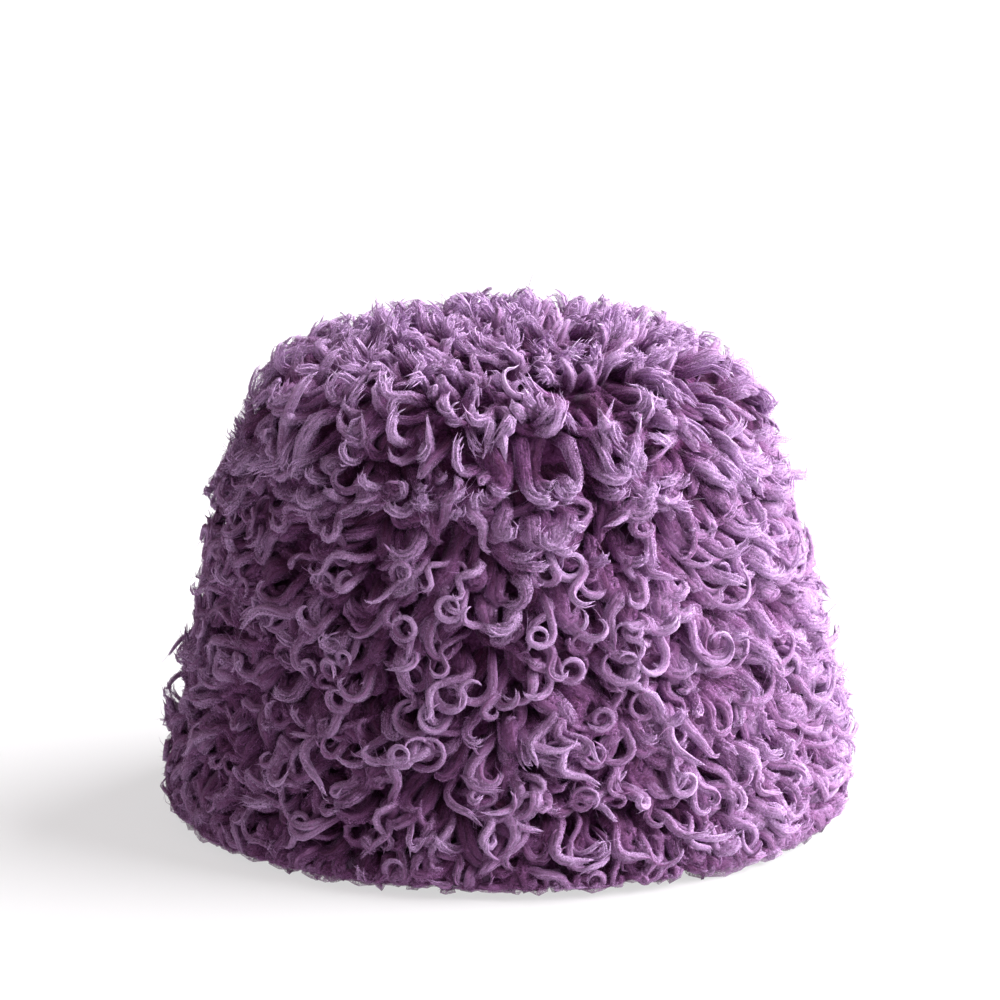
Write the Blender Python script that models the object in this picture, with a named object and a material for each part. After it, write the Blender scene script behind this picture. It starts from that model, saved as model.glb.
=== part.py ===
# A bucket hat in curly fur: three sewn pelt panels, each with its own fleece of locks.
# Run it with: blender --background --python part.py
# Lengths are in metres and +Z is up. The origin is on the floor under the middle of the hat,
# which rests on its hem, and -Y is its front.

from collections import namedtuple
from math import atan2, cos, hypot, pi, radians, sin

import bmesh
import bpy
from mathutils import Vector

MM = 0.001

# Thicknesses, each measured square to the pelt's outer face
PELT = 2.5 * MM  # the skin with the knit behind it
SEAM_GAP = 0.3 * MM  # between two panels, and between a pelt and its fleece
FLEECE = 8 * MM  # the dense wool between the locks

# Every panel has the same columns round the hat, so that facing panels have parallel facets
COLUMNS = 48
TIP_CELLS = COLUMNS // 4  # cells along each side of the square grid that covers the tip

# The meridian of the pelt's outer face, from the middle of the crown down to the hem.
# Each section is an arc, or a straight run where its slope doesn't change.
Section = namedtuple("Section", "panel length end_slope")  # metres, degrees below level
MERIDIAN = (
    Section("tip", 66 * MM, 9),
    Section("tip", 20 * MM, 78.5),
    Section("side", 82 * MM, 78.5),
    Section("brim", 67 * MM, 75.5),
)

# Rows of cells down each panel: on the fleece, where every second cell grows a lock, and on
# the plain faces, which need only enough rows to follow the meridian
Panel = namedtuple("Panel", "name lock_rows plain_rows")
SIDE = Panel("side", 6, 1)
BRIM = Panel("brim", 5, 2)

# One lock from its root to its tip. The width is a share of its cell's. The droop is how far
# it has slid down the meridian. The swing is how far it has slid aside, and the twist how far
# it has turned, both times the lock's own sway.
Ring = namedtuple("Ring", "lift droop width swing twist")  # metres and degrees
LOCK_RINGS = (
    Ring(14 * MM, 2 * MM, 0.92, 0.0, 0),
    Ring(21 * MM, 8 * MM, 0.74, 2.5 * MM, 24),
)
LOCK_TIP = Ring(26 * MM, 19 * MM, 0.0, -2.0 * MM, 0)
SWAY_STEP = 2.4  # radians of sway from each lock to the next, so that no two neighbours match
TIP_LIFT_VARIES = 0.04  # share by which a lock's tip is longer or shorter than its neighbours

# How the pile changes down the meridian, as shares of a full lock's lift and droop: it stands
# up on the crown, fans out round its edge, and is pressed flatter at the hem by the floor
Pile = namedtuple("Pile", "s lift droop")
PILE = (
    Pile(0 * MM, 0.96, 0.25),
    Pile(64 * MM, 1.00, 0.45),
    Pile(100 * MM, 1.00, 1.00),
    Pile(195 * MM, 0.98, 1.00),
    Pile(215 * MM, 0.84, 0.90),
    Pile(229 * MM, 0.68, 0.50),
)

Finish = namedtuple("Finish", "name colour roughness")
PELT_FINISH = Finish("undyed_pelt", (0.28, 0.17, 0.30, 1.0), 0.9)
FUR_FINISH = Finish("lilac_curly_wool", (0.44, 0.26, 0.47, 1.0), 0.85)


def meridian(s):
    """The radius, drop and slope at s down the meridian. Past the hem it runs on straight."""
    radius = drop = slope = 0.0
    for section in MERIDIAN:
        last = section is MERIDIAN[-1]
        run = min(s, section.length)
        end_slope = radians(section.end_slope)
        if abs(end_slope - slope) < 1e-6:
            radius += run * cos(slope)
            drop += run * sin(slope)
        else:
            bend = (end_slope - slope) / section.length
            reached = slope + bend * run
            radius += (sin(reached) - sin(slope)) / bend
            drop += (cos(slope) - cos(reached)) / bend
            slope = reached
        s -= run
        if s <= 0:
            break
        if last:
            radius += s * cos(slope)
            drop += s * sin(slope)
    return radius, drop, slope


def reach_of(panel):
    """Where a panel starts and ends down the meridian, edge to edge with its neighbours."""
    before = 0.0
    for section in MERIDIAN:
        if section.panel == panel:
            break
        before += section.length
    own = sum(section.length for section in MERIDIAN if section.panel == panel)
    return before, before + own


HEM = sum(section.length for section in MERIDIAN)
HAT_HEIGHT = meridian(HEM)[1]  # the pelt's outer face at the middle of the crown, over the floor


def on_hat(s, turn, lift):
    """The point at s down the meridian, turned round the hat and lifted off the pelt's face."""
    radius, drop, slope = meridian(s)
    radius += lift * sin(slope)
    height = HAT_HEIGHT - drop + lift * cos(slope)
    if abs(s - HEM) < 1e-6:
        height = 0.0  # the hem is trimmed level, to rest on the floor
    return Vector((radius * cos(turn), radius * sin(turn), height))


# A chart is a flat map of one panel, in which its grid is laid and its locks are grown.
# The tip's chart is a disc, and x and y are s times the cosine and sine of the turn.
# The side's and the brim's chart is a strip, and x is the turn and y is s. In both, z is the lift.


def tip_grid(bm, lift):
    """A square grid drawn out to a disc of rings, with COLUMNS points on its rim."""
    made = bmesh.ops.create_grid(bm, x_segments=TIP_CELLS, y_segments=TIP_CELLS, size=1.0)
    rim = reach_of("tip")[1] - SEAM_GAP / 2
    for vert in made["verts"]:
        x, y = vert.co.x, vert.co.y
        ring = max(abs(x), abs(y))
        if ring < 1e-6:
            turn = 0.0
        elif abs(x) >= abs(y):
            turn = pi / 4 * y / x + (pi if x < 0 else 0)
        else:
            turn = pi / 2 - pi / 4 * x / y + (pi if y < 0 else 0)
        vert.co = (ring * rim * cos(turn), ring * rim * sin(turn), lift)
    return made["verts"]


def strip_grid(bm, panel, rows, lift):
    """A grid of a panel's rows and the hat's columns, with its first and last points side by side."""
    made = bmesh.ops.create_grid(bm, x_segments=COLUMNS, y_segments=rows, size=0.5)
    top, bottom = reach_of(panel.name)
    top += SEAM_GAP / 2
    bottom -= 0 if bottom == HEM else SEAM_GAP / 2
    for vert in made["verts"]:
        share = 0.5 - vert.co.y
        vert.co = ((vert.co.x + 0.5) * 2 * pi, top + share * (bottom - top), lift)
    return made["verts"]


def lock_cells(bm, sheet, lift, across):
    """Every second cell of a sheet of that many cells across, as on a chessboard."""
    bm.faces.index_update()
    cells = {face for vert in sheet for face in vert.link_faces}
    cells = [face for face in cells if all(abs(vert.co.z - lift) < 1e-9 for vert in face.verts)]
    cells.sort(key=lambda face: face.index)
    return [cell for n, cell in enumerate(cells) if (n // across + n % across) % 2 == 0]


def tip_directions(root):
    """Down the meridian and aside, in the disc chart."""
    outward = Vector((root.x, root.y, 0)).normalized()
    return outward, Vector((-outward.y, outward.x, 0))


def strip_directions(root):
    """Down the meridian and aside, in the strip chart, where aside is an angle."""
    return Vector((0, 1, 0)), Vector((1 / (meridian(root.y)[0] + FLEECE), 0, 0))


def pile_at(s):
    """The shares of lift and droop that a lock has at s, between the rows of the table."""
    for upper, lower in zip(PILE, PILE[1:]):
        if s < lower.s:
            share = (s - upper.s) / (lower.s - upper.s)
            lift = upper.lift + share * (lower.lift - upper.lift)
            return lift, upper.droop + share * (lower.droop - upper.droop)
    return PILE[-1].lift, PILE[-1].droop


def reshape(offset, down, aside, scale, twist):
    """An offset from a ring's middle, scaled and turned in the plane of the hat's surface."""
    across = offset.dot(aside) / aside.length_squared * scale
    along = offset.dot(down) * scale
    turned_across = across * cos(twist) - along * sin(twist)
    turned_along = across * sin(twist) + along * cos(twist)
    return aside * turned_across + down * turned_along


def grow_locks(bm, cells, directions, distance_down):
    """Draws each cell out into a lock that leans down the hat, twists and narrows to a point."""
    for number, cell in enumerate(cells):
        root = cell.calc_center_median()
        down, aside = directions(root)
        lift, droop = pile_at(distance_down(root))
        sway = sin(SWAY_STEP * number)
        tip_lift = lift * (1 + TIP_LIFT_VARIES * cos(SWAY_STEP * number))

        def middle_of(ring, lifted):
            middle = root + down * ring.droop * droop + aside * ring.swing * sway
            middle.z = FLEECE + (ring.lift - FLEECE) * lifted
            return middle

        middle, width = root, 1.0
        for ring in LOCK_RINGS:
            cell = bmesh.ops.extrude_discrete_faces(bm, faces=[cell])["faces"][0]
            moved = middle_of(ring, lift)
            twist = radians(ring.twist) * sway
            for vert in cell.verts:
                vert.co = moved + reshape(vert.co - middle, down, aside, ring.width / width, twist)
            middle, width = moved, ring.width
        point = bmesh.ops.poke(bm, faces=[cell])["verts"][0]
        point.co = middle_of(LOCK_TIP, tip_lift)


def disc_to_hat(point):
    return on_hat(hypot(point.x, point.y), atan2(point.y, point.x), point.z)


def strip_to_hat(point):
    return on_hat(point.y, point.x, point.z)


def fold_rims(bm, sheet, lift, is_disc):
    """Folds a sheet's rims down to another lift, where the inner sheet will meet them. A strip's
    two ends aren't rims, because they meet each other."""
    rims = {edge for vert in sheet for edge in vert.link_edges if edge.is_boundary}
    rims = [e for e in rims if is_disc or abs(e.verts[0].co.y - e.verts[1].co.y) < 1e-9]
    folded = bmesh.ops.extrude_edge_only(bm, edges=rims)["geom"]
    for vert in folded:
        if isinstance(vert, bmesh.types.BMVert):
            vert.co.z = lift


def finish_layer(bm, to_hat):
    """Lays a chart round the hat and joins its sheets where they meet."""
    for vert in bm.verts:
        vert.co = to_hat(vert.co)
    bmesh.ops.remove_doubles(bm, verts=bm.verts, dist=1e-6)
    bmesh.ops.recalc_face_normals(bm, faces=bm.faces)
    return bm


def tip_layer(inner, outer, with_locks):
    """A layer of the tip between two lifts off the pelt's outer face."""
    bm = bmesh.new()
    sheet = tip_grid(bm, outer)
    fold_rims(bm, sheet, inner, is_disc=True)
    if with_locks:
        cells = lock_cells(bm, sheet, outer, TIP_CELLS)
        grow_locks(bm, cells, tip_directions, lambda root: hypot(root.x, root.y))
    tip_grid(bm, inner)
    return finish_layer(bm, disc_to_hat)


def strip_layer(panel, inner, outer, with_locks):
    """A layer of the side or the brim between two lifts off the pelt's outer face."""
    bm = bmesh.new()
    sheet = strip_grid(bm, panel, panel.lock_rows if with_locks else panel.plain_rows, outer)
    fold_rims(bm, sheet, inner, is_disc=False)
    if with_locks:
        cells = lock_cells(bm, sheet, outer, COLUMNS)
        grow_locks(bm, cells, strip_directions, lambda root: root.y)
    strip_grid(bm, panel, panel.plain_rows, inner)
    return finish_layer(bm, strip_to_hat)


def finish_material(finish):
    material = bpy.data.materials.get(finish.name) or bpy.data.materials.new(finish.name)
    material.use_nodes = True
    shader = material.node_tree.nodes["Principled BSDF"]
    shader.inputs["Base Color"].default_value = finish.colour
    shader.inputs["Roughness"].default_value = finish.roughness
    shader.inputs["Metallic"].default_value = 0.0
    return material


def add_piece(name, bm, finish, parent):
    mesh = bpy.data.meshes.new(name)
    bm.to_mesh(mesh)
    bm.free()
    mesh.materials.append(finish_material(finish))
    piece = bpy.data.objects.new(name, mesh)
    piece.parent = parent
    bpy.context.scene.collection.objects.link(piece)
    return piece


def clear_scene():
    for old in list(bpy.data.objects):
        bpy.data.objects.remove(old)


def build_hat():
    clear_scene()
    hat = bpy.data.objects.new("hat", None)
    bpy.context.scene.collection.objects.link(hat)

    pelts = {
        "crown_tip": tip_layer(-PELT, 0.0, False),
        "crown_side": strip_layer(SIDE, -PELT, 0.0, False),
        "brim": strip_layer(BRIM, -PELT, 0.0, False),
    }
    furs = {
        "fur_crown_tip": tip_layer(SEAM_GAP, FLEECE, True),
        "fur_crown_side": strip_layer(SIDE, SEAM_GAP, FLEECE, True),
        "fur_brim": strip_layer(BRIM, SEAM_GAP, FLEECE, True),
    }
    for name, bm in pelts.items():
        add_piece(name, bm, PELT_FINISH, hat)
    for name, bm in furs.items():
        add_piece(name, bm, FUR_FINISH, hat)


build_hat()
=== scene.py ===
# A bucket hat in lilac curly fur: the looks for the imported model, which is its fixed frame.
# The curls are grown from arrays, as thousands of closed strands in joined meshes.

import math

import bpy
import numpy as np
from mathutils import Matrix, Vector


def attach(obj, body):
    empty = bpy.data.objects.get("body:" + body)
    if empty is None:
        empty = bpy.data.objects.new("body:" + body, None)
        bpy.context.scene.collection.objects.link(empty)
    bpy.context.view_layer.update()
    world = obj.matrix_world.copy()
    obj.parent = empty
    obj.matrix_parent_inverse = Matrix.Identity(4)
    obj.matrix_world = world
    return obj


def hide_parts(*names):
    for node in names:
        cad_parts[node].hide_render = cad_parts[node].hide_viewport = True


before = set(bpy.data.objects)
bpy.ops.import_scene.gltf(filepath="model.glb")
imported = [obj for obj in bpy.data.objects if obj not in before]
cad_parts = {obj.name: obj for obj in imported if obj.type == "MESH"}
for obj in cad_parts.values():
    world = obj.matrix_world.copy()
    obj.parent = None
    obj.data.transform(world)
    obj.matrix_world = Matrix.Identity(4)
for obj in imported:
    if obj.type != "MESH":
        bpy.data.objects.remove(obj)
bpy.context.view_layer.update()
print("frame loaded:", sorted(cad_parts))

tau = 2 * math.pi
metre = 0.001  # all lengths below are in mm until they reach a mesh


# the hat's surface

hatShape = {
    "sections": [(66, 9), (20, 78.5), (82, 78.5), (67, 75.5)],  # length and end slope, as in the CAD
    "tipEnd": 86, "sideEnd": 168, "hem": 235,  # down the meridian from the middle of the crown
    "step": 0.25, "beyond": 50,  # along the meridian, and how far it goes straight on past the hem
    "front": -0.25 * tau,  # the turn that faces the camera
}


def makeMeridian(shape):
    # the pelt's outer face: places down it from the middle of the crown, with radius, height and slope
    step = shape["step"]
    s, slopes, before, slope = [0.0], [0.0], 0.0, 0.0
    for length, endSlope in [*shape["sections"], (shape["beyond"], None)]:
        end = slope if endSlope is None else math.radians(endSlope)
        for n in range(round(length / step)):
            s.append(before + (n + 1) * step)
            slopes.append(slope + (end - slope) * (n + 1) * step / length)
        before, slope = before + length, end
    s, slopes = np.array(s), np.array(slopes)
    middle = (slopes[1:] + slopes[:-1]) / 2
    radius = np.concatenate([[0], np.cumsum(np.cos(middle) * step)])
    drop = np.concatenate([[0], np.cumsum(np.sin(middle) * step)])
    height = np.interp(shape["hem"], s, drop) - drop
    return s, radius, height, slopes


meridian = makeMeridian(hatShape)


def meridianAt(s):
    return [np.interp(s, meridian[0], column) for column in meridian[1:]]


def onHat(s, turn, lift):
    # places at a distance down the meridian, a turn round the axis and a lift off the pelt
    radius, height, slope = meridianAt(s)
    radius = radius + lift * np.sin(slope)
    height = height + lift * np.cos(slope)
    return np.stack(np.broadcast_arrays(radius * np.cos(turn), radius * np.sin(turn), height), -1)


def easeIn(x, start=0.0, width=1.0):
    # 0 before the start, 1 after the width, and smooth between them
    x = np.clip((x - start) / width, 0, 1)
    return x * x * (3 - 2 * x)


lumpLook = {"lift": 10, "waves": 7, "stretch": (0.7, 1.4), "top": 3.2}


def unevenness(s, turn, size, seed):
    # smooth random lumps of about this size over the hat, between -1 and 1
    place = onHat(s, turn, lumpLook["lift"])
    waves = np.random.default_rng(seed)
    total = 0
    for _ in range(lumpLook["waves"]):
        direction = waves.normal(size=3)
        direction *= tau / size / np.linalg.norm(direction) * waves.uniform(*lumpLook["stretch"])
        total = total + np.sin(place @ direction + waves.uniform(0, tau))
    return np.clip(total / lumpLook["top"], -1, 1)


# meshes from strands

meshLook = {
    "lowest": 0.1,  # no point lies closer to the floor
    "cap": (0.1, 0.9, 0.02),  # where the flat root of a strand lies on its own map, and how high it bulges
    "cell": (0.06, 0.88),  # the margin and the width of a strand in its cell of the baking map
    "outwards": (1, 1, 0.3), "tiny": 1e-9,  # from the hat's axis and a little up, and against a zero length
}


def tubesFrom(paths, widths, heights, ridges):
    # one closed tube along each path, as corners by strand, point and side
    _, across, over = framesAlong(paths)
    angles = np.arange(ridges.shape[1]) / ridges.shape[1] * tau
    aside = widths[:, :, None] * (ridges * np.cos(angles))[:, None]
    outward = heights[:, :, None] * (ridges * np.sin(angles))[:, None]
    return paths[:, :, None] + aside[..., None] * across[:, :, None] + outward[..., None] * over[:, :, None]


def strandMesh(name, groups):
    # joins groups of tubes in one mesh, with a map of each strand and a cell of the baking map for it
    places, starts, corners, own, cells, tones, depthShades, veils = ([] for _ in range(8))
    capStart, capEnd, capHeight = meshLook["cap"]
    firstVert = firstCorner = firstStrand = 0
    for tubes, tone, depth, veil in groups:
        count, points, sides = tubes.shape[:3]
        size = (points - 1) * sides + 1  # the last point of a tube is its sharp tip
        first = firstVert + np.arange(count) * size
        vert = first[:, None, None] + np.arange(size - 1).reshape(points - 1, sides)
        tips = np.broadcast_to((first + size - 1)[:, None], (count, sides))
        following = np.roll(vert, -1, axis=2)
        u, v = np.arange(sides) / sides, np.arange(points) / (points - 1)
        quads = np.stack([vert[:, :-1], following[:, :-1], following[:, 1:], vert[:, 1:]], -1)
        quadU = np.stack([u, u + 1 / sides, u + 1 / sides, u], -1)
        quadV = np.stack([v[:-2], v[:-2], v[1:-1], v[1:-1]], -1)[:, None]
        fans = np.stack([vert[:, -1], following[:, -1], tips], -1)
        fanU = np.stack([u, u + 1 / sides, u + 0.5 / sides], -1)
        caps = vert[:, :1, ::-1]
        capU = np.linspace(capStart, capEnd, sides)
        capV = capHeight * np.sin(np.linspace(0, math.pi, sides))
        body = tubes[:, :-1].reshape(count, size - 1, 3)
        corner = np.concatenate([body, tubes[:, -1].mean(1, keepdims=True)], 1)
        places.append(corner.reshape(-1, 3))
        tones.append(np.repeat(tone, size))
        veils.append(np.full(count * size, veil))
        depthShades.append(np.concatenate([np.repeat(depth[:, :-1], sides, 1), depth[:, -1:]], 1).ravel())
        for faces, faceU, faceV in (
                (quads, quadU, quadV), (fans, fanU, [v[-2], v[-2], 1]), (caps, capU, capV)):
            if faces.size:
                flat = faces.reshape(-1, faces.shape[-1])
                corners.append(flat.ravel())
                starts.append(firstCorner + np.arange(len(flat)) * flat.shape[1])
                firstCorner += flat.size
                own.append(np.stack([np.broadcast_to(faceU, faces.shape).ravel(),
                                     np.broadcast_to(faceV, faces.shape).ravel()], -1))
                cells.append(np.repeat(firstStrand + np.arange(count), faces[0].size))
        firstVert += count * size
        firstStrand += count
    places, own, cells = np.concatenate(places), np.concatenate(own), np.concatenate(cells)
    places[:, 2] = np.maximum(places[:, 2], meshLook["lowest"])
    corners, starts = np.concatenate(corners), np.concatenate(starts)
    mesh = bpy.data.meshes.new(name)
    mesh.vertices.add(len(places))
    mesh.vertices.foreach_set("co", (places * metre).ravel().astype(np.float32))
    mesh.loops.add(len(corners))
    mesh.loops.foreach_set("vertex_index", corners.astype(np.int32))
    mesh.polygons.add(len(starts))
    mesh.polygons.foreach_set("loop_start", starts.astype(np.int32))
    mesh.update(calc_edges=True)
    mesh.shade_smooth()
    cellsWide = math.ceil(math.sqrt(firstStrand))
    cell = np.stack([cells % cellsWide, cells // cellsWide], -1)
    margin, width = meshLook["cell"]
    for mapName, uv in (("strandMap", own), ("OFBake", (cell + margin + width * own) / cellsWide)):
        layer = mesh.uv_layers.new(name=mapName)
        layer.data.foreach_set("uv", uv.ravel().astype(np.float32))
    for kind, values in (("tone", tones), ("depth", depthShades), ("veil", veils)):
        attribute = mesh.attributes.new(kind, "FLOAT", "POINT")
        attribute.data.foreach_set("value", np.concatenate(values).astype(np.float32))
    piece = bpy.data.objects.new(name, mesh)
    bpy.context.scene.collection.objects.link(piece)
    mesh.calc_loop_triangles()
    print(name, "strands:", firstStrand, "triangles:", len(mesh.loop_triangles))
    return piece


# curly locks

lockLook = {  # a pair whose name ends in From says where something begins, and how far on it is full
    "seed": 7,
    "fine": 60,  # points along the middle of a lock
    "rows": {"lift": 16, "least": 3, "aside": 0.36, "down": 0.4},  # the roots, and how far they stray
    "clumps": {"lift": 14, "spacing": 21, "pull": 0.36, "hurry": 1.2},  # locks lean towards their clump
    "leftFrom": (0.30, 0.45),  # the wearer's left, where the fur is combed and soft
    "leftSoft": 0.35, "leftCalm": 0.5,  # the share of tufts there, and how much less the locks curl
    "lip": (104, 0.5),  # the rim of the crown ends here, and this share of its locks are tufts
    "sweep": 48, "sweepFrom": (60, 50),  # degrees that locks are swept away from the front, at the sides
    "orderFrom": (10, 50),  # nearer the middle of the crown they lie any way
    # which way locks lie, wave and curl: a lock's own share, what neighbours share, its size and its seed
    "flow": (0.45, 1.0, 32, 3), "phase": (0.5, 2.5, 30, 5), "side": (0.5, 1.0, 26, 9),
    "firstPhase": 1.5, "sideways": 1.1,
    "tightening": 1.15,  # above 1, a curl gets tighter towards its tip
    "hem": {"over": 2.5, "lean": 2, "room": 5},  # where locks end, lower on the left, and turn aside
    "hemLeast": (1, 0.35),  # the least reach in mm, and how short a lock near the hem may be
    "turnAt": 10,  # how far below its root a lock's turn round the hat is measured
    "root": 8.0,  # the lift of the roots
    "topAt": 0.4, "rootFrom": (0.0, 0.3),  # where along it a lock is at its top, and clear of its root
    "sway": (0.3, 1.5), "swayWaves": (0.9, 1.5),
    "ceiling": ([0, 40, 62, 80, 92, 110, 205, 222, 232, 240], [27, 26, 22, 20, 21, 26, 28, 25, 19, 12]),
    "clearance": 1.5,  # below the ceiling, for all but the tips that spike out
    "spike": (1.5, 4.5), "spikeFrom": (0.5, 0.5),
    "rise": ([0, 40, 62, 80, 95, 112, 170, 190, 205, 235], [0, 0, -3, -3, -1, 1, 1, 2, 0, -1]),
    "lumps": [(1.6, 38, 11), (1.6, 19, 12)],  # mm of height, size and seed
    "underside": (108, 0.20, 0.2),  # the radius where the fur leaves the floor, its slope and least height
    # paler: painted light on the under layer of the wearer's left, the side the key light falls on
    "paler": (1.3, 70, 30),  # the under layer's shade on the wearer's left, from where and over how much
    # hemShade: painted shade, the fur darker near the hem where it turns under
    "hemShade": (0.4, 220, 15),  # how much darker the fur gets near the hem, from where and over how much
    # full: the painted shade by depth is lightest at this share of the ceiling, where the fur is painted
    # palest
    "full": (0.92, 1.2),  # the share of the ceiling where the fur is at its palest, and the most beyond
    "taper": (0.55, 0.35), "flatten": (0.3, 0.5),  # how much width and height are lost towards the tip
    "rootWide": (0.55, 0.45), "rootHigh": (0.7, 0.3),  # their shares at the root, and what comes after it
    "bending": (0.5, 4),  # radians of bend, and points of straight run, for as much of a lock's points
    "tone": (0.5, 0.75, 0.07),  # how uneven locks are, how much paler some are, and the share of those
    "winding": 0.8,  # turns of the strands about each other
    "bulgeLift": 12,
    "bulges": [  # how much higher the pile stands in some places
        {"s": 190, "turn": -0.02, "size": 26, "lift": 4},
        {"s": 100, "turn": 0.53, "size": 18, "lift": 4},
        {"s": 102, "turn": -0.41, "size": 14, "lift": -2},
        {"s": 106, "turn": -0.19, "size": 13, "lift": -2},
        {"s": 80, "turn": -0.03, "size": 20, "lift": -4},
    ],
}

layerLook = {  # soft mounds below, and curls on top of them
    "under": {"kinds": {"mound": 1.0}, "spacing": 8.6, "lower": 3.6},
    "over": {"spacing": 8.8, "lower": 0.0},
}

# for each kind of lock: degrees of wave and of curl, where the curl starts, how many waves, mm of length,
# of half width and of half height, how much higher the tip stands, and where it begins to get thinner
curlKinds = {
    "ring": {"wave": (8, 25), "curl": (330, 480), "start": (0.30, 0.44), "waves": (0.5, 1.0),
             "length": (38, 54), "wide": (1.2, 1.7), "high": (0.9, 1.2), "rise": 2.0, "thin": 0.5},
    "hook": {"wave": (10, 40), "curl": (140, 280), "start": (0.28, 0.5), "waves": (0.5, 1.0),
             "length": (23, 33), "wide": (1.4, 2.2), "high": (0.9, 1.4), "rise": 1.0, "thin": 0.35},
    "wave": {"wave": (42, 75), "curl": (60, 180), "start": (0.50, 0.65), "waves": (1.1, 1.7),
             "length": (25, 35), "wide": (1.6, 2.4), "high": (0.9, 1.4), "rise": 0.0, "thin": 0.3},
    "tuft": {"wave": (15, 50), "curl": (80, 260), "start": (0.3, 0.6), "waves": (0.4, 0.9),
             "length": (16, 24), "wide": (2.0, 3.4), "high": (1.4, 2.2), "rise": 1.0, "thin": 0.12},
    "mound": {"wave": (20, 60), "curl": (80, 280), "start": (0.3, 0.6), "waves": (0.5, 1.2),
              "length": (18, 28), "wide": (3.2, 4.8), "high": (1.2, 1.8), "rise": 0.0, "thin": 0.3},
}

# for each kind of lock: the points along it and its strands, with their sides, their width, and how far
# they lie from its middle and part at its tip; the mm that loose fibres stand off, and how loose and how
# dense their sleeve is; the wisps, the long and the short hairs that leave it; and how dense its strands
# are where they are loose fibres too
woolLook = {
    "ring": {"points": 17, "strands": 2, "sides": 4, "core": 0.66, "apart": 0.42, "parting": 0.2,
             "loose": (0.2, 0.5), "sleeve": (1.0, 0.45), "hairs": (1, 2, 5)},
    "hook": {"points": 12, "strands": 2, "sides": 4, "core": 0.62, "apart": 0.45, "parting": 0.9,
             "loose": (0.3, 0.8), "sleeve": (1.0, 0.45), "hairs": (1, 2, 5)},
    "wave": {"points": 12, "strands": 3, "sides": 4, "core": 0.48, "apart": 0.52, "parting": 1.2,
             "loose": (0.4, 1.0), "sleeve": (1.0, 0.45), "hairs": (1, 2, 5)},
    "tuft": {"points": 8, "strands": 5, "sides": 3, "core": 0.38, "apart": 0.60, "parting": 2.6,
             "loose": (0.5, 1.4), "sleeve": (1.0, 0.36), "hairs": (2, 3, 9), "veil": 0.60},
    "mound": {"points": 7, "strands": 2, "sides": 3, "core": 0.62, "apart": 0.45, "parting": 1.0,
              "loose": (0.6, 1.4), "sleeve": (1.1, 0.4), "hairs": (0, 0, 1)},
}

strandLook = {
    "length": (0.84, 1.0), "parts": 3,  # the share of the lock, and the power at which strands part
    "ridges": (0.8, 1.15), "uneven": (0.88, 1.12), "thick": 1.25, "tone": 0.3,
}

# paler: the sleeve stands further out, so it gets a little less painted shade
sleeveLook = {"uneven": (0.7, 1.3), "ridges": (0.82, 1.18), "sides": 5, "tone": 0.3, "paler": 0.03}

hairLook = {
    "at": (0.2, 0.97), "height": 0.7, "sunk": 0.6,  # where a hair leaves its lock, and from how far in
    "bend": 0.3, "turning": (-0.5, 1.0), "tip": 0.3, "sides": 3, "tone": 0.2,
    "kinds": [  # wisps, long and short hairs: mm of length and half width, lean outwards, and points
        {"length": (2.5, 5.0), "half": (0.45, 0.75), "lean": (0.3, 0.9), "points": 3},
        {"length": (4.0, 8.0), "half": (0.09, 0.15), "lean": (0.1, 0.7), "points": 3},
        {"length": (1.5, 4.0), "half": (0.09, 0.15), "lean": (0.1, 0.7), "points": 2},
    ],
}

# for each panel: from where to where down the hat, shares of the kinds, mm of lift at a lock's top and tip,
# degrees of disorder, how close and large locks are, the share that spike out, and the layers' shades,
# which are painted shade: darker for the under layer between the curls, and paler on the crown, where light
# falls from above
panelLook = {
    "crownTip": {
        "seed": 8,
        "from": 3, "to": 85, "kinds": {"ring": 0.03, "hook": 0.11, "wave": 0.06, "tuft": 0.80},
        "lift": (13, 19), "endLift": (20, 29), "jitter": 70, "crowding": 0.92, "size": 0.88, "spiky": 0.45,
        "shades": {"under": 1.0, "over": 1.12},
    },
    "crownSide": {
        "seed": 9,
        "from": 85, "to": 168, "kinds": {"ring": 0.21, "hook": 0.32, "wave": 0.28, "tuft": 0.19},
        "lift": (16.5, 22.5), "endLift": (17, 25), "jitter": 19, "crowding": 1.0, "size": 1.0, "spiky": 0.2,
        "shades": {"under": 0.76, "over": 1.03},
    },
    "brim": {
        "seed": 4,
        "from": 171, "to": 231, "kinds": {"ring": 0.09, "hook": 0.30, "wave": 0.47, "tuft": 0.14},
        "lift": (16.5, 22.5), "endLift": (16, 24), "jitter": 22, "crowding": 1.0, "size": 1.0, "spiky": 0.3,
        "shades": {"under": 0.76, "over": 1.03},
    },
}


def rowRadius(s):
    radius, _, slope = meridianAt(s)
    return radius + lockLook["rows"]["lift"] * np.sin(slope)


def rootsOf(look, spacing, rng):
    # in staggered rows round the hat, each a little out of its place
    rows = round((look["to"] - look["from"]) / spacing) + 1
    stray = lockLook["rows"]
    s, turn = [], []
    for row, middle in enumerate(np.linspace(look["from"], look["to"], rows)):
        count = max(stray["least"], round(tau * rowRadius(middle) / spacing))
        places = np.arange(count) + 0.5 * (row % 2) + rng.uniform(-stray["aside"], stray["aside"], count)
        s.append(middle + rng.uniform(-stray["down"], stray["down"], count) * spacing)
        turn.append(places / count * tau)
    return np.concatenate(s), np.concatenate(turn)


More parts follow.
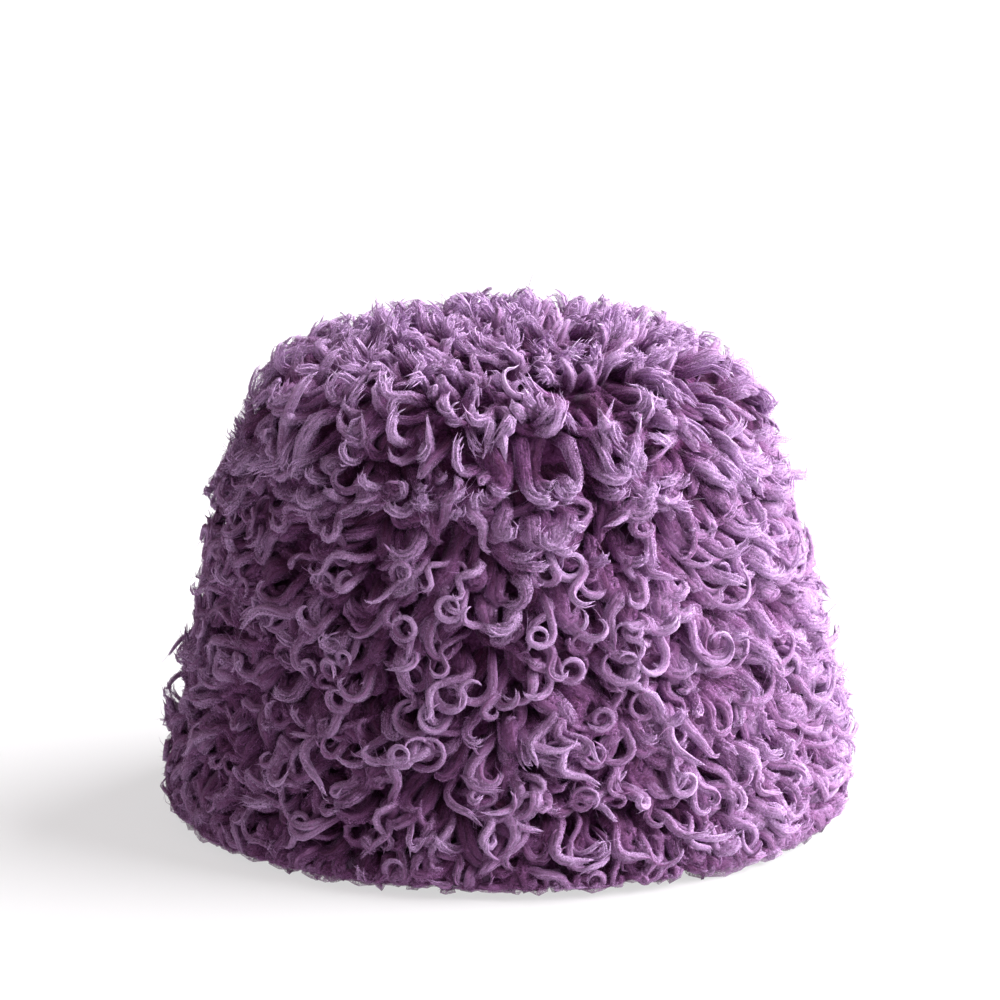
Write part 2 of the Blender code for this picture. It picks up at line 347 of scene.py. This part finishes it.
def towardsClumps(s, turn, look):
    # how far a lock's tip is drawn down and aside, towards the middle of its clump
    clumpLook = lockLook["clumps"]
    rng = np.random.default_rng(lockLook["seed"])
    clumps = onHat(*rootsOf(look, clumpLook["spacing"], rng), clumpLook["lift"])
    roots = onHat(s, turn, clumpLook["lift"])
    nearest = ((roots[:, None] - clumps[None]) ** 2).sum(-1).argmin(1)
    way = (clumps[nearest] - roots) * clumpLook["pull"]
    slope = meridianAt(s)[2]
    down = np.stack([np.cos(slope) * np.cos(turn), np.cos(slope) * np.sin(turn), -np.sin(slope)], -1)
    aside = np.stack([-np.sin(turn), np.cos(turn), 0 * turn], -1)
    return (way * down).sum(-1)[:, None], (way * aside).sum(-1)[:, None]


def growLocks(panel, layerName, rng):
    # the middle line of every lock in a layer of a panel, with how wide and high it is along it
    look, layer = panelLook[panel], layerLook[layerName]
    s0, turn0 = rootsOf(look, layer["spacing"] * look["crowding"], rng)
    n, fine = len(s0), lockLook["fine"]
    t = np.linspace(0, 1, fine)[None]
    leftward = np.sin(turn0 - hatShape["front"])  # 1 on the wearer's left, and -1 on the right
    onLeft = easeIn(leftward, *lockLook["leftFrom"])

    def pick(low, high):
        return rng.uniform(low, high, n)[:, None]

    def mixed(own, shared, size, seed):  # partly a lock's own, and partly alike in neighbours
        return rng.normal(size=n) * own + unevenness(s0, turn0, size, seed) * shared

    kinds = layer.get("kinds", look["kinds"])
    names = list(kinds)
    kind = rng.choice(len(names), n, p=list(kinds.values()))
    if "tuft" in names:
        lip, share = lockLook["lip"]
        softened = rng.uniform(size=n) < lockLook["leftSoft"] * onLeft
        atLip = (s0 < lip) & (rng.uniform(size=n) < share)
        kind = np.where(softened | atLip, names.index("tuft"), kind)

    def byKind(value):
        ranges = np.array([np.broadcast_to(curlKinds[name][value], 2) for name in names])[kind]
        return (ranges[:, 0] + (ranges[:, 1] - ranges[:, 0]) * rng.uniform(size=n))[:, None]

    # which way each lock heads, as an angle from straight down the hat
    flow = math.radians(lockLook["sweep"]) * leftward * easeIn(s0, *lockLook["sweepFrom"])
    flow = flow + math.radians(look["jitter"]) * mixed(*lockLook["flow"])
    flow = flow + (1 - easeIn(s0, *lockLook["orderFrom"])) * rng.uniform(-math.pi, math.pi, n)
    phase = mixed(*lockLook["phase"])[:, None] + lockLook["firstPhase"]
    side = np.where(mixed(*lockLook["side"]) + lockLook["sideways"] * leftward < 0, -1, 1)[:, None]
    combed = 1 - lockLook["leftCalm"] * onLeft[:, None]
    wave = combed * np.radians(byKind("wave")) * np.sin(tau * byKind("waves") * t + phase)
    start = byKind("start")
    curled = np.clip((t - start) / (1 - start), 0, 1) ** lockLook["tightening"]
    curl = combed * side * np.radians(byKind("curl")) * curled
    heading = flow[:, None] + wave + curl

    # its way down the hat and aside
    length = byKind("length") * look["size"]
    stepDown, stepAside = np.cos(heading) * length / (fine - 1), np.sin(heading) * length / (fine - 1)
    pullDown, pullAside = towardsClumps(s0, turn0, look)
    pulled = easeIn(t * lockLook["clumps"]["hurry"])
    down = np.cumsum(stepDown, 1) - stepDown + pullDown * pulled
    aside = np.cumsum(stepAside, 1) - stepAside + pullAside * pulled
    hem = lockLook["hem"]
    hemline = (hatShape["hem"] + hem["over"] + hem["lean"] * leftward)[:, None]
    leastReach, leastShare = lockLook["hemLeast"]
    reach = np.maximum(down.max(1, keepdims=True), leastReach)
    shrunk = np.clip((hemline - s0[:, None]) / reach, leastShare, 1)
    down, aside = down * shrunk, aside * shrunk  # locks near the hem are short
    s, turn = placesFor(panel, s0, turn0, down, aside, hemline - hem["room"])

    # its lift off the pelt: up from the root, over its top and on to its tip
    pile = pileAt(s0, turn0, layer["lower"])[:, None]
    top = pick(*look["lift"]) + pile
    end = pick(*look["endLift"]) + pile + byKind("rise")
    root, topAt = lockLook["root"], lockLook["topAt"]
    lift = root + (top - root) * np.sin(0.5 * math.pi * np.clip(t / topAt, 0, 1))
    lift = lift + (end - top) * easeIn(t, topAt, 1 - topAt)
    sway = pick(*lockLook["sway"]) * np.sin(tau * pick(*lockLook["swayWaves"]) * t + pick(0, tau))
    fromRoot = easeIn(t, *lockLook["rootFrom"])
    lift = lift + sway * fromRoot
    room = np.interp(s, *lockLook["ceiling"])
    lift = np.minimum(lift, room - lockLook["clearance"])
    spike = rng.uniform(*lockLook["spike"], n) * (rng.uniform(size=n) < look["spiky"])
    lift = lift + spike[:, None] * easeIn(t, *lockLook["spikeFrom"])
    # depth is painted shade: darker deep in the pile and paler near its top, scaled by the layers' painted
    # shades
    full, most = lockLook["full"]
    depth = np.clip((lift - root) / (full * (room - root)), 0, most)
    depth = depth * shadeAt(look["shades"][layerName], layerName, s0, s, onLeft)

    # its width and height, and how its points are spread along it
    path = onHat(s, turn, lift)
    ahead, across, over = framesAlong(path)
    thin = byKind("thin")
    tip = np.clip((t - thin) / (1 - thin), 0, 1)
    taper, flatter = [1 - a * tip - b * tip ** 4 for a, b in (lockLook["taper"], lockLook["flatten"])]
    fuller, taller = [a + b * fromRoot for a, b in (lockLook["rootWide"], lockLook["rootHigh"])]
    wide = byKind("wide") * fuller * taper
    high = byKind("high") * taller * flatter
    bent, straight = lockLook["bending"]
    bend = np.abs(np.gradient(heading, axis=1)) / bent + length / (fine - 1) / straight
    measure = np.cumsum(bend, 1) - bend[:, :1]
    spread, bright, share = lockLook["tone"]
    tone = rng.normal(size=n) * spread + bright * (rng.uniform(size=n) < share)
    winding = rng.uniform(-lockLook["winding"], lockLook["winding"], n)
    return {"path": aboveFloor(path, high), "wide": wide, "high": np.minimum(high, wide), "turn": turn0,
            "depth": depth, "tone": tone, "taper": taper, "measure": measure / measure[:, -1:],
            "kind": np.array(names)[kind], "ahead": ahead, "across": across, "over": over,
            "winding": winding}


def placesFor(panel, s0, turn0, down, aside, low):
    # where on the hat a lock gets to, so far down and aside from its root
    if panel == "crownTip":  # a flat chart from the middle of the crown
        x = (s0[:, None] + down) * np.cos(turn0)[:, None] - aside * np.sin(turn0)[:, None]
        y = (s0[:, None] + down) * np.sin(turn0)[:, None] + aside * np.cos(turn0)[:, None]
        return np.hypot(x, y), np.arctan2(y, x)
    s = s0[:, None] + down
    spare = lockLook["hem"]["room"]
    s = np.where(s > low, low + spare * (1 - np.exp((low - s) / spare)), s)  # no lock hangs past the hem
    return s, turn0[:, None] + aside / rowRadius(s0 + lockLook["turnAt"])[:, None]


def pileAt(s, turn, lower):
    # how much higher than usual the locks stand at these places
    lumps = sum(height * unevenness(s, turn, size, seed) for height, size, seed in lockLook["lumps"])
    lumps = lumps + np.interp(s, *lockLook["rise"]) - lower
    for bulge in lockLook["bulges"]:
        middle = onHat(bulge["s"], bulge["turn"] * tau, lockLook["bulgeLift"])
        apart = onHat(s, turn, lockLook["bulgeLift"]) - middle
        lumps = lumps + bulge["lift"] * np.exp(-(apart ** 2).sum(-1) / bulge["size"] ** 2)
    return lumps


def shadeAt(shade, layerName, s0, s, onLeft):
    # painted light and shade: the under layer is painted paler on the wearer's left, where the key light
    # falls, and all of it darker near the hem
    paler, start, width = lockLook["paler"]
    if layerName == "under":
        shade = shade + (paler - shade) * onLeft * easeIn(s0, start, width)
    darker, start, width = lockLook["hemShade"]
    return np.broadcast_to(shade, len(s0))[:, None] * (1 - darker * easeIn(s, start, width))


def aboveFloor(path, radii):
    # the fur bulges out over the floor and touches it only near the hem
    radius, steep, least = lockLook["underside"]
    clear = np.maximum(np.hypot(path[..., 0], path[..., 1]) - radius, 0) * steep + least
    path[..., 2] = np.maximum(path[..., 2], radii + clear)
    return path


def framesAlong(path):
    # ahead, and two directions across that turn no more than the path does
    ahead = np.gradient(path, axis=1)
    ahead /= np.linalg.norm(ahead, axis=2, keepdims=True) + meshLook["tiny"]
    across = np.empty_like(path)
    line = np.cross(ahead[:, 0], path[:, 0] * meshLook["outwards"])
    for n in range(path.shape[1]):
        line = line - (line * ahead[:, n]).sum(1, keepdims=True) * ahead[:, n]
        line /= np.linalg.norm(line, axis=1, keepdims=True) + meshLook["tiny"]
        across[:, n] = line
    return ahead, across, np.cross(ahead, across)


def sampled(lines, at):
    # values along each line at shares from 0 to 1
    place = np.clip(at, 0, 1) * (lines.shape[1] - 1)
    low = np.minimum(place.astype(int), lines.shape[1] - 2)
    share = place - low
    if lines.ndim == 3:
        low, share = low[..., None], share[..., None]
    return np.take_along_axis(lines, low, 1) * (1 - share) + np.take_along_axis(lines, low + 1, 1) * share


def evenBends(measure, points, ends):
    # shares along each lock up to its end, closer together where it bends more
    t = np.linspace(0, 1, measure.shape[1])
    steps = np.linspace(0, 1, points)
    return np.array([
        np.interp(np.interp(end, t, line) * steps, line, t) for line, end in zip(measure, ends)])


def strandOf(locks, wool, number, rng):
    # one of the dense strands that wind about the middle of each lock and part at its tip
    n = len(locks["turn"])
    t = evenBends(locks["measure"], wool["points"], rng.uniform(*strandLook["length"], n))
    path, wide, high, depth, across, over = [
        sampled(locks[key], t) for key in ("path", "wide", "high", "depth", "across", "over")]
    angle = tau * (locks["winding"][:, None] * (1 + t) + number / wool["strands"])
    away = wool["apart"] + wool["parting"] * t ** strandLook["parts"] / wide
    aside, outward = np.cos(angle) * wide * away, np.sin(angle) * high * away
    path = path + across * aside[..., None] + over * outward[..., None]
    ridges = rng.uniform(*strandLook["ridges"], (n, wool["sides"]))
    uneven = rng.uniform(*strandLook["uneven"], wide.shape) * wool["core"]
    width, height = wide * uneven, np.minimum(high * uneven * strandLook["thick"], wide * uneven)
    tone = locks["tone"] + rng.normal(size=n) * strandLook["tone"]
    return tubesFrom(aboveFloor(path, height), width, height, ridges), tone, depth, wool.get("veil", 1.0)


def sleeveOf(locks, wool, rng):
    # a looser sleeve round each lock, for the fibres that stand off it
    n = len(locks["turn"])
    share, veil = wool["sleeve"]
    t = evenBends(locks["measure"], wool["points"], np.ones(n))
    path, wide, high, depth, taper = [
        sampled(locks[key], t) for key in ("path", "wide", "high", "depth", "taper")]
    loose = share * taper * rng.uniform(*wool["loose"], (n, 1))
    loose = loose * rng.uniform(*sleeveLook["uneven"], wide.shape)
    ridges = rng.uniform(*sleeveLook["ridges"], (n, sleeveLook["sides"]))
    tubes = tubesFrom(path, wide + loose, high + loose, ridges)
    return tubes, locks["tone"] + sleeveLook["tone"] * share, depth + sleeveLook["paler"], veil


def hairOf(locks, look, rng):
    # a fine hair that leaves each lock at a slant
    n, points = len(locks["turn"]), look["points"]
    at = rng.uniform(*hairLook["at"], n)[:, None]
    path, wide, high, depth, ahead, across, over = [
        sampled(locks[key], at) for key in ("path", "wide", "high", "depth", "ahead", "across", "over")]
    angle = rng.uniform(0, tau, n)[:, None, None]
    outward = across * np.cos(angle) + over * np.sin(angle)
    reach = wide * np.abs(np.cos(angle[..., 0])) + high * hairLook["height"]
    path = [path + outward * reach[..., None] * hairLook["sunk"]]
    step = rng.uniform(*look["length"], n)[:, None, None] / (points - 1)
    lean = rng.uniform(*look["lean"], n)[:, None, None]
    for _ in range(points - 1):
        bend = rng.normal(size=(n, 1, 3)) * hairLook["bend"]
        path.append(path[-1] + (ahead + outward * lean + bend) * step)
        lean = lean * rng.uniform(*hairLook["turning"], n)[:, None, None]
    path = np.concatenate(path, 1)
    radii = rng.uniform(*look["half"], n)[:, None] * np.linspace(1, hairLook["tip"], points)
    tubes = tubesFrom(aboveFloor(path, radii), radii, radii, np.ones((n, hairLook["sides"])))
    return tubes, locks["tone"] + hairLook["tone"], np.repeat(depth, points, 1), 1.0


sectorNames = ("Front", "Right", "Back", "Left")  # as the camera sees them


def furPieces(panel, node):
    # all the locks of a panel, as dense curls and as loose fuzz, each in one piece for each sector
    rng = np.random.default_rng([lockLook["seed"], panelLook[panel]["seed"]])
    curls, fuzz = [], []
    for layerName in layerLook:
        grown = growLocks(panel, layerName, rng)
        for kind, wool in woolLook.items():
            locks = {key: values[grown["kind"] == kind] for key, values in grown.items()}
            turn = locks["turn"]
            if not len(turn):
                continue
            fuzz.append((turn, *sleeveOf(locks, wool, rng)))
            strands = fuzz if "veil" in wool else curls
            strands += [(turn, *strandOf(locks, wool, number, rng)) for number in range(wool["strands"])]
            for count, hair in zip(wool["hairs"], hairLook["kinds"]):
                curls += [(turn, *hairOf(locks, hair, rng)) for _ in range(count)]
    count = len(sectorNames)
    for kind, groups, material in (("Curls", curls, curlMaterial), ("Fuzz", fuzz, fuzzMaterial)):
        for number, name in enumerate(sectorNames):
            part = []
            for turn, tubes, tone, depth, veil in groups:
                sector = np.floor((turn - hatShape["front"]) / tau * count + 0.5).astype(int) % count
                chosen = sector == number
                part.append((tubes[chosen], tone[chosen], depth[chosen], veil))
            piece = strandMesh(f"{panel}{kind}{name}", part)
            piece.data.materials.append(material)
            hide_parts(node)
            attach(piece, "root")


# materials

class Socket:
    # a shader value that adds its own Math nodes when it is used in an expression
    def __init__(self, tree, link):
        self.tree, self.link = tree, link

    def maths(self, operation, *values):
        return self.tree.node("ShaderNodeMath", {"operation": operation}, *values)

    def __add__(self, other):
        return self.maths("ADD", self, other)

    def __radd__(self, other):
        return self.maths("ADD", other, self)

    def __sub__(self, other):
        return self.maths("SUBTRACT", self, other)

    def __rsub__(self, other):
        return self.maths("SUBTRACT", other, self)

    def __mul__(self, other):
        return self.maths("MULTIPLY", self, other)

    def __rmul__(self, other):
        return self.maths("MULTIPLY", other, self)

    def held(self):  # between 0 and 1
        return self.tree.node("ShaderNodeClamp", {}, self)


class Finish:
    # one material, built node by node
    def __init__(self, name):
        self.material = bpy.data.materials.new(name)
        self.material.use_nodes = True
        self.nodes, self.links = self.material.node_tree.nodes, self.material.node_tree.links
        self.shader = self.nodes["Principled BSDF"]

    def node(self, kind, settings, *values, output=0, **named):
        made = self.nodes.new(kind)
        for key, value in settings.items():
            if key == "stops":
                ramp = made.color_ramp
                while len(ramp.elements) < len(value):
                    ramp.elements.new(0.5)
                for element, (place, colour) in zip(ramp.elements, value):
                    element.position, element.color = place, (*colour, 1)
            else:
                setattr(made, key, value)
        for key, value in [*enumerate(values), *named.items()]:
            self.feed(made.inputs[key.replace("_", " ") if isinstance(key, str) else key], value)
        return Socket(self, made.outputs[output])

    def feed(self, socket, value):
        if isinstance(value, Socket):
            self.links.new(value.link, socket)
        else:
            socket.default_value = value

    def set(self, **values):
        for key, value in values.items():
            self.feed(self.shader.inputs[key.replace("_", " ")], value)

    def ramp(self, level, stops):
        return self.node("ShaderNodeValToRGB", {"stops": stops}, level)

    def noise(self, place, scale, detail, roughness, distortion=0.0):
        return self.node("ShaderNodeTexNoise", {}, Vector=place, Scale=scale, Detail=detail,
                         Roughness=roughness, Distortion=distortion)

    def attribute(self, name):  # what strandMesh gives each point
        return self.node("ShaderNodeAttribute", {"attribute_name": name}, output=2)

    def objectPlace(self):
        return self.node("ShaderNodeTexCoord", {}, output=3)


strandNoise = {"fibres": (1.0, 3.0, 0.65, 0.6), "wool": (1500.0, 2.0, 0.7)}  # as noise() takes it


def woolLevel(f, look):
    # how pale each place of a strand is, with painted shade and painted highlights, and the stretched
    # fibres, the fine wool and the edges in it, along which a painted highlight runs
    own = f.node("ShaderNodeUVMap", {"uv_map": "strandMap"})
    tone, depth = f.attribute("tone"), f.attribute("depth")
    stretched = f.node("ShaderNodeVectorMath", {"operation": "MULTIPLY"}, own, (*look["fibres"], 1.0))
    shiftAside, shiftInside = look["shift"]
    offset = f.node("ShaderNodeCombineXYZ", {}, tone * shiftAside, 0.0, tone * shiftInside)
    place = f.node("ShaderNodeVectorMath", {"operation": "ADD"}, stretched, offset)
    fibres = f.noise(place, *strandNoise["fibres"])
    wool = f.noise(f.objectPlace(), *strandNoise["wool"])
    around = f.node("ShaderNodeSeparateXYZ", {}, own) * (2 * tau)  # a strand has two edges
    # edge is a painted highlight, paler along a strand's two sides
    edge = around.maths("COSINE", around) * 0.5 + 0.5
    # along is painted shade along a strand: darker towards its root and paler at its tip
    along = f.node("ShaderNodeSeparateXYZ", {}, own, output=1)
    shares = look["shares"]
    # depth is painted shade: the deeper in the pile, the darker
    level = depth * shares["depth"] + (fibres - 0.5) * shares["fibres"] + (wool - 0.5) * shares["wool"]
    level = level + tone * shares["tone"] + (edge - 0.5) * shares["edge"] + (along - 0.5) * shares["along"]
    return level.held(), fibres, wool, edge


curlLook = {
    "fibres": (10.0, 3.5), "shift": (7.0, 13.0),  # round a strand and along it, and between strands
    # the edge share is a painted highlight along a strand's sides; depth and along are painted shade
    "shares": {"depth": 0.66, "fibres": 0.7, "wool": 0.6, "tone": 0.11, "edge": 0.14, "along": 0.12},
    # the ramp runs from the painted shade deep between the curls to the palest lilac at the top of the pile
    "stops": [(0.05, (0.050, 0.003, 0.028)), (0.42, (0.232, 0.090, 0.226)),
              (0.80, (0.445, 0.262, 0.49)), (1.0, (0.61, 0.47, 0.68))],
    "roughness": 0.68, "specular": 0.2, "bump": 0.6, "bumpHeight": 0.0008, "bumpFibres": 0.7,
    "sheen": 0.20, "sheenRoughness": 0.4, "sheenTint": (0.90, 0.66, 0.95, 1),
}


def makeCurlMaterial(look):
    f = Finish("lilacCurls")
    level, fibres, wool, _ = woolLevel(f, look)
    bump = f.node("ShaderNodeBump", {}, Strength=look["bump"], Distance=look["bumpHeight"],
                  Height=fibres * look["bumpFibres"] + wool)
    f.set(Base_Color=f.ramp(level, look["stops"]), Roughness=look["roughness"], Normal=bump,
          Specular_IOR_Level=look["specular"], Sheen_Weight=look["sheen"],
          Sheen_Roughness=look["sheenRoughness"], Sheen_Tint=look["sheenTint"])
    return f.material


fuzzLook = {
    "fibres": (13.0, 15.0), "shift": (11.0, 17.0),
    # as for the curls, depth and along are painted shade and edge a painted highlight
    "shares": {"depth": 0.90, "fibres": 0.45, "wool": 0.3, "tone": 0.08, "edge": 0.08, "along": 0.12},
    "stops": [(0.1, (0.080, 0.016, 0.062)), (0.5, (0.252, 0.098, 0.252)), (1.0, (0.54, 0.350, 0.60))],
    "clear": {"fibres": 0.9, "wool": 1.9, "edge": 0.2},  # how sharply the clear space follows each of them
    "roughness": 0.8, "specular": 0.1,
    "sheen": 0.14, "sheenRoughness": 0.4, "sheenTint": (0.90, 0.66, 0.95, 1),
}


def makeFuzzMaterial(look):
    # loose fibres with clear space between them
    f = Finish("looseFibres")
    level, fibres, wool, edge = woolLevel(f, look)
    shares = look["clear"]
    opaque = (fibres - 0.5) * shares["fibres"] + (wool - 0.5) * shares["wool"] + f.attribute("veil")
    opaque = opaque + (edge - 0.5) * shares["edge"]
    f.set(Base_Color=f.ramp(level, look["stops"]), Roughness=look["roughness"], Alpha=opaque.held(),
          Specular_IOR_Level=look["specular"], Sheen_Weight=look["sheen"],
          Sheen_Roughness=look["sheenRoughness"], Sheen_Tint=look["sheenTint"])
    return f.material


curlMaterial = makeCurlMaterial(curlLook)
fuzzMaterial = makeFuzzMaterial(fuzzLook)
print("materials of the curls made")
for panel, node in (("crownTip", "fur_crown_tip"), ("crownSide", "fur_crown_side"), ("brim", "fur_brim")):
    furPieces(panel, node)


# the dense fleece under the curls

fleeceLook = {
    "lift": ([0, 50, 70, 95, 115, 235], [12, 11, 9, 9, 11, 10.5]), "wall": 7.5, "grid": 5.0,
    "lumpSize": 9.0, "lumpHeight": 3.0,
    "joined": 0.1,  # corners closer than this are one
    "overlap": 1, "aboveHem": 7,  # how far a panel's fleece runs on under the next, and where it ends
    "curls": (330.0, 4.0, 0.7, 1.6),  # scale, detail, roughness and distortion of the noise
    # mottled lilac wool, painted dark as the shade deep under the curls
    "stops": [(0.35, (0.050, 0.006, 0.036)), (0.68, (0.24, 0.075, 0.23))],
    "bump": 1.0, "bumpHeight": 0.003, "roughness": 0.9, "specular": 0.1,
}


def makeFleece(panel, node, start, end):
    # the outer face is spun from its profile, made lumpy, and then given its wall
    rows = round((end - start) / fleeceLook["grid"])
    s = np.linspace(start, end, rows + 1)
    profile = onHat(s, 0.0, np.interp(s, *fleeceLook["lift"]))
    mesh = bpy.data.meshes.new(f"{panel}Fleece")
    mesh.from_pydata((profile * metre).tolist(), [(n, n + 1) for n in range(rows)], [])
    piece = bpy.data.objects.new(f"{panel}Fleece", mesh)
    bpy.context.scene.collection.objects.link(piece)
    selectOnly(piece)
    columns = round(tau * profile[:, 0].max() / fleeceLook["grid"])
    bpy.ops.object.mode_set(mode="EDIT")
    bpy.ops.mesh.select_all(action="SELECT")
    bpy.ops.mesh.spin(steps=columns, angle=tau, center=(0, 0, 0), axis=(0, 0, 1))
    bpy.ops.mesh.select_all(action="SELECT")
    bpy.ops.mesh.remove_doubles(threshold=fleeceLook["joined"] * metre)
    bpy.ops.mesh.normals_make_consistent(inside=False)
    bpy.ops.object.mode_set(mode="OBJECT")
    clouds = bpy.data.textures.new("lumps", "CLOUDS")
    clouds.noise_scale = fleeceLook["lumpSize"] * metre
    lumps = piece.modifiers.new("lumps", "DISPLACE")
    lumps.texture, lumps.texture_coords = clouds, "GLOBAL"
    lumps.strength, lumps.mid_level = fleeceLook["lumpHeight"] * metre, 0.5
    bpy.ops.object.modifier_apply(modifier=lumps.name)
    wall = piece.modifiers.new("wall", "SOLIDIFY")
    wall.thickness, wall.offset = fleeceLook["wall"] * metre, -1
    bpy.ops.object.modifier_apply(modifier=wall.name)
    assert min(vertex.co.z for vertex in mesh.vertices) > 0
    mesh.shade_smooth()
    piece.data.materials.append(fleeceMaterial)
    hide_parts(node)
    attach(piece, "root")
    mesh.calc_loop_triangles()
    print(piece.name, "triangles:", len(mesh.loop_triangles))


def selectOnly(piece):
    bpy.ops.object.select_all(action="DESELECT")
    piece.select_set(True)
    bpy.context.view_layer.objects.active = piece


def makeFleeceMaterial(look):
    f = Finish("denseFleece")
    curls = f.noise(f.objectPlace(), *look["curls"])
    bump = f.node("ShaderNodeBump", {}, Strength=look["bump"], Distance=look["bumpHeight"], Height=curls)
    f.set(Base_Color=f.ramp(curls, look["stops"]), Roughness=look["roughness"],
          Specular_IOR_Level=look["specular"], Normal=bump)
    return f.material


fleeceMaterial = makeFleeceMaterial(fleeceLook)
makeFleece("crownTip", "fur_crown_tip", 0.0, hatShape["tipEnd"] + fleeceLook["overlap"])
makeFleece("crownSide", "fur_crown_side", hatShape["tipEnd"], hatShape["sideEnd"] + fleeceLook["overlap"])
makeFleece("brim", "fur_brim", hatShape["sideEnd"], hatShape["hem"] - fleeceLook["aboveHem"])


# the napped skin side, on the pelts that the frame carries

peltLook = {
    "nap": (900.0, 4.0, 0.75), "patches": (22.0, 3.0, 0.55, 0.8),  # scale, detail, roughness, distortion
    "pores": 420.0, "poreLevel": 0.3,
    "shares": {"patches": 0.65, "nap": 0.35, "pores": 0.12},
    "stops": [(0.25, (0.075, 0.028, 0.075)), (0.52, (0.150, 0.068, 0.155)), (0.80, (0.23, 0.125, 0.235))],
    "bump": 0.5, "bumpHeight": 0.0006, "bumpShares": {"nap": 0.7, "pores": 0.3},
    "roughness": (0.2, 0.78), "specular": 0.15, "sheen": 0.35, "sheenRoughness": 0.5,
}


def makePeltMaterial(look):
    f = Finish("nappedPelt")
    place = f.objectPlace()
    nap, patches = f.noise(place, *look["nap"]), f.noise(place, *look["patches"])
    pores = f.node("ShaderNodeTexVoronoi", {"feature": "F1"}, Vector=place, Scale=look["pores"])
    shares, heights = look["shares"], look["bumpShares"]
    level = patches * shares["patches"] + nap * shares["nap"]
    level = (level + (pores - look["poreLevel"]) * shares["pores"]).held()
    bump = f.node("ShaderNodeBump", {}, Strength=look["bump"], Distance=look["bumpHeight"],
                  Height=nap * heights["nap"] + pores * heights["pores"])
    uneven, least = look["roughness"]
    f.set(Base_Color=f.ramp(level, look["stops"]), Roughness=(nap * uneven + least).held(), Normal=bump,
          Specular_IOR_Level=look["specular"], Sheen_Weight=look["sheen"],
          Sheen_Roughness=look["sheenRoughness"])
    return f.material


peltMaterial = makePeltMaterial(peltLook)
for node in ("crown_tip", "crown_side", "brim"):
    pelt = bpy.data.objects[node]
    for slot in pelt.material_slots:
        slot.material = peltMaterial
    print(node, "napped, material slots:", len(pelt.material_slots))


# floor, light and camera

stageLook = {
    "size": 14, "middle": (0, 2, 0),  # of the floor, in metres
    "floor": (0.28, 0.276, 0.28, 1), "floorRoughness": 0.9, "floorSpecular": 0.1,
    "glow": (1, 1, 1, 1), "floorGlow": 0.62,
    "fill": 0.085, "fillTint": (1.0, 0.56, 0.68, 1),
}

lightLook = {
    "key": {"energy": 15.6, "angle": 80, "from": (0.92, 0.18, 0.38), "colour": (0.97, 0.98, 1.0)},
    "overhead": {"energy": 0.55, "angle": 120, "from": (-0.05, -0.1, 1.0), "colour": (1.0, 0.82, 0.84)},
    "front": {"energy": 0.3, "angle": 120, "from": (0.6, -0.75, 0.4), "colour": (1.0, 0.85, 0.88)},
}

bpy.ops.object.select_all(action="DESELECT")
bpy.ops.mesh.primitive_plane_add(size=stageLook["size"], location=stageLook["middle"])
floor = bpy.context.object
floor.name = "floor"
floorFinish = Finish("paleFloor")
floorFinish.set(Base_Color=stageLook["floor"], Roughness=stageLook["floorRoughness"],
                Specular_IOR_Level=stageLook["floorSpecular"], Emission_Color=stageLook["glow"],
                Emission_Strength=stageLook["floorGlow"])
floor.data.materials.append(floorFinish.material)

world = bpy.data.worlds.new("softFill")
world.use_nodes = True
background = world.node_tree.nodes["Background"]
background.inputs["Color"].default_value = stageLook["fillTint"]
background.inputs["Strength"].default_value = stageLook["fill"]
bpy.context.scene.world = world

for name, look in lightLook.items():
    bpy.ops.object.light_add(type="SUN")
    lamp = bpy.context.object
    lamp.name = name
    lamp.data.energy = look["energy"]
    lamp.data.angle = math.radians(look["angle"])
    lamp.data.color = look["colour"]
    lamp.rotation_euler = Vector(look["from"]).to_track_quat("Z", "Y").to_euler()

cameraLook = {  # mm from the target, degrees up, and mm across the picture at the target
    "target": (-2.6, 0, 117.5), "distance": 2200, "elevation": 13.5, "across": 375,
    "sensor": 36, "clipEnd": 100,
}
bpy.ops.object.camera_add()
camera = bpy.context.object
elevation = math.radians(cameraLook["elevation"])
away = Vector((0, -math.cos(elevation), math.sin(elevation)))
camera.location = (Vector(cameraLook["target"]) + away * cameraLook["distance"]) * metre
camera.rotation_euler = away.to_track_quat("Z", "Y").to_euler()
camera.data.sensor_width = cameraLook["sensor"]
camera.data.lens = cameraLook["sensor"] * cameraLook["distance"] / cameraLook["across"]
camera.data.clip_end = cameraLook["clipEnd"]
bpy.context.scene.camera = camera
bpy.context.scene.view_settings.view_transform = "Standard"
print("floor, lights and camera placed")
